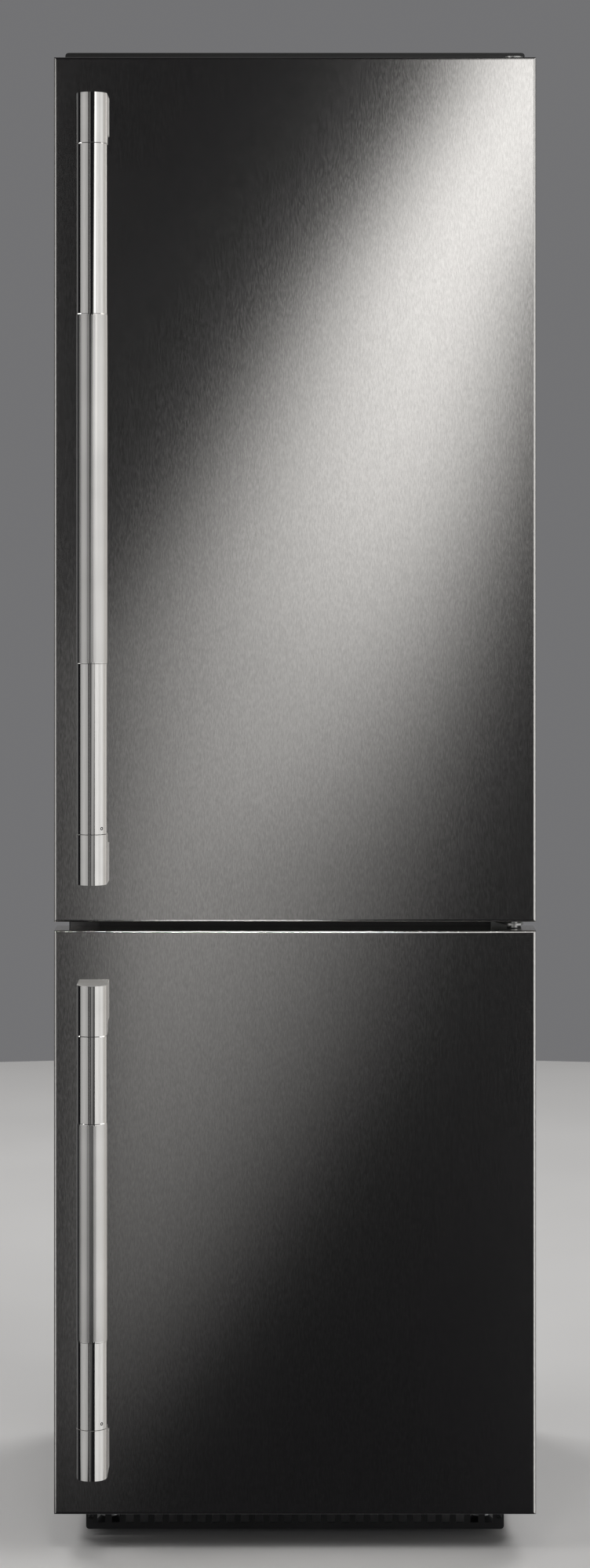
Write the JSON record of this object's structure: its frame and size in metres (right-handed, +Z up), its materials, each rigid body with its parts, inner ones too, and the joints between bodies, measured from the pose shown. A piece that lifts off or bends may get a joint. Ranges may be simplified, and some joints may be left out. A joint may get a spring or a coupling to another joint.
{
  "type": "bottom freezer refrigerator",
  "caption": "Tall two-door refrigerator, fridge above and freezer below, with stainless doors hinged on the right, round bar handles with knurled grips, shelves, bins and drawers.",
  "frame": {"origin": "middle of the bounding box's base, on the floor", "axes": "+Z up, the doors face -Y, +X is the hinge side"},
  "size_m": [0.595, 0.7434, 1.8605],
  "materials": {
    "stainless": "satin",
    "handle_steel": "satin",
    "painted_case": "satin",
    "zinc_steel": "satin",
    "foam": "matte",
    "liner": "satin",
    "gasket": "matte",
    "trim": "satin",
    "shelf_glass": "gloss",
    "clear_plastic": "gloss",
    "black_paint": "satin",
    "black_plastic": "satin",
    "aluminium": "satin",
    "fan_plastic": "satin"
  },
  "bodies": {
    "cabinet": {"outer_case": "painted_case", "back_panel": "zinc_steel", "insulation_foam": "foam", "fridge_liner": "liner", "freezer_liner": "liner", "centre_rail": "painted_case", "top_cover": "black_plastic", "top_hinge_plate": "zinc_steel", "top_hinge_pin": "zinc_steel", "centre_hinge_plate": "zinc_steel", "centre_hinge_pin": "zinc_steel", "bottom_hinge_plate": "zinc_steel", "bottom_hinge_pin": "zinc_steel", "centre_rail_blank": "black_plastic", "base_pan": "zinc_steel", "toe_grille": "black_plastic", "compressor": "black_paint", "condensate_tray": "black_plastic", "condenser_coil": "black_paint", "evaporator": "aluminium", "fan_motor": "zinc_steel", "freezer_air_cover": "liner", "air_duct_cover": "liner", "control_housing": "liner", "shelf_glass_1": "shelf_glass", "shelf_glass_2": "shelf_glass", "shelf_glass_3": "shelf_glass", "shelf_trim_1": "trim", "shelf_trim_2": "trim", "shelf_trim_3": "trim", "crisper_cover_glass": "shelf_glass"},
    "left_foot": {"left_foot": "black_plastic"},
    "right_foot": {"right_foot": "black_plastic"},
    "left_roller": {"left_roller": "black_plastic"},
    "right_roller": {"right_roller": "black_plastic"},
    "evaporator_fan": {"evaporator_fan": "fan_plastic"},
    "temperature_button": {"temperature_button": "trim"},
    "crisper_drawer_left": {"crisper_drawer_left": "clear_plastic"},
    "crisper_drawer_right": {"crisper_drawer_right": "clear_plastic"},
    "freezer_drawer_bottom": {"freezer_drawer_bottom": "clear_plastic"},
    "freezer_drawer_middle": {"freezer_drawer_middle": "clear_plastic"},
    "freezer_drawer_top": {"freezer_drawer_top": "clear_plastic"},
    "fridge_door": {"fridge_door_skin": "stainless", "fridge_door_foam": "foam", "fridge_door_liner": "liner", "fridge_door_gasket": "gasket", "door_bin_bottom": "clear_plastic", "door_bin_middle": "clear_plastic", "door_bin_top": "clear_plastic", "fridge_handle_bar": "handle_steel", "fridge_handle_post_upper": "handle_steel", "fridge_handle_post_lower": "handle_steel"},
    "dairy_lid": {"dairy_lid": "clear_plastic"},
    "freezer_door": {"freezer_door_skin": "stainless", "freezer_door_foam": "foam", "freezer_door_liner": "liner", "freezer_door_gasket": "gasket", "freezer_handle_bar": "handle_steel", "freezer_handle_post_upper": "handle_steel", "freezer_handle_post_lower": "handle_steel"}
  },
  "joints": [
    {"name": "fridge_door_hinge", "type": "hinge", "parent": "cabinet", "child": "fridge_door", "pos_m": [0.272, -0.26485, 1.3], "axis": [0, 0, 1], "range_deg": [0, 125]},
    {"name": "freezer_door_hinge", "type": "hinge", "parent": "cabinet", "child": "freezer_door", "pos_m": [0.272, -0.26485, 0.4], "axis": [0, 0, 1], "range_deg": [0, 125]},
    {"name": "dairy_lid_hinge", "type": "hinge", "parent": "fridge_door", "child": "dairy_lid", "pos_m": [0, -0.22685, 1.672], "axis": [1, 0, 0], "range_deg": [0, 80]},
    {"name": "crisper_drawer_left_slide", "type": "slide", "parent": "cabinet", "child": "crisper_drawer_left", "axis": [0, -1, 0], "range_m": [0, 0.22]},
    {"name": "crisper_drawer_right_slide", "type": "slide", "parent": "cabinet", "child": "crisper_drawer_right", "axis": [0, -1, 0], "range_m": [0, 0.22]},
    {"name": "freezer_drawer_bottom_slide", "type": "slide", "parent": "cabinet", "child": "freezer_drawer_bottom", "axis": [0, -1, 0], "range_m": [0, 0.22]},
    {"name": "freezer_drawer_middle_slide", "type": "slide", "parent": "cabinet", "child": "freezer_drawer_middle", "axis": [0, -1, 0], "range_m": [0, 0.22]},
    {"name": "freezer_drawer_top_slide", "type": "slide", "parent": "cabinet", "child": "freezer_drawer_top", "axis": [0, -1, 0], "range_m": [0, 0.22]},
    {"name": "left_foot_screw", "type": "slide", "parent": "cabinet", "child": "left_foot", "axis": [0, 0, -1], "range_m": [0, 0.02]},
    {"name": "right_foot_screw", "type": "slide", "parent": "cabinet", "child": "right_foot", "axis": [0, 0, -1], "range_m": [0, 0.02]},
    {"name": "left_roller_spin", "type": "hinge", "parent": "cabinet", "child": "left_roller", "pos_m": [-0.245, 0.29215, 0.017], "axis": [1, 0, 0], "continuous": true},
    {"name": "right_roller_spin", "type": "hinge", "parent": "cabinet", "child": "right_roller", "pos_m": [0.245, 0.29215, 0.017], "axis": [1, 0, 0], "continuous": true},
    {"name": "evaporator_fan_spin", "type": "hinge", "parent": "cabinet", "child": "evaporator_fan", "pos_m": [0, 0.23815, 0.632], "axis": [0, 1, 0], "continuous": true},
    {"name": "temperature_button_press", "type": "slide", "parent": "cabinet", "child": "temperature_button", "axis": [0, 1, 0], "range_m": [0, 0.002], "stiffness_N_per_m": 300}
  ],
  "couplings": [
    {"joint": "crisper_drawer_left_slide", "follows": "fridge_door_hinge", "m_per_rad": 0.1},
    {"joint": "crisper_drawer_right_slide", "follows": "fridge_door_hinge", "m_per_rad": 0.1},
    {"joint": "freezer_drawer_bottom_slide", "follows": "freezer_door_hinge", "m_per_rad": 0.1},
    {"joint": "freezer_drawer_middle_slide", "follows": "freezer_door_hinge", "m_per_rad": 0.1},
    {"joint": "freezer_drawer_top_slide", "follows": "freezer_door_hinge", "m_per_rad": 0.1}
  ]
}
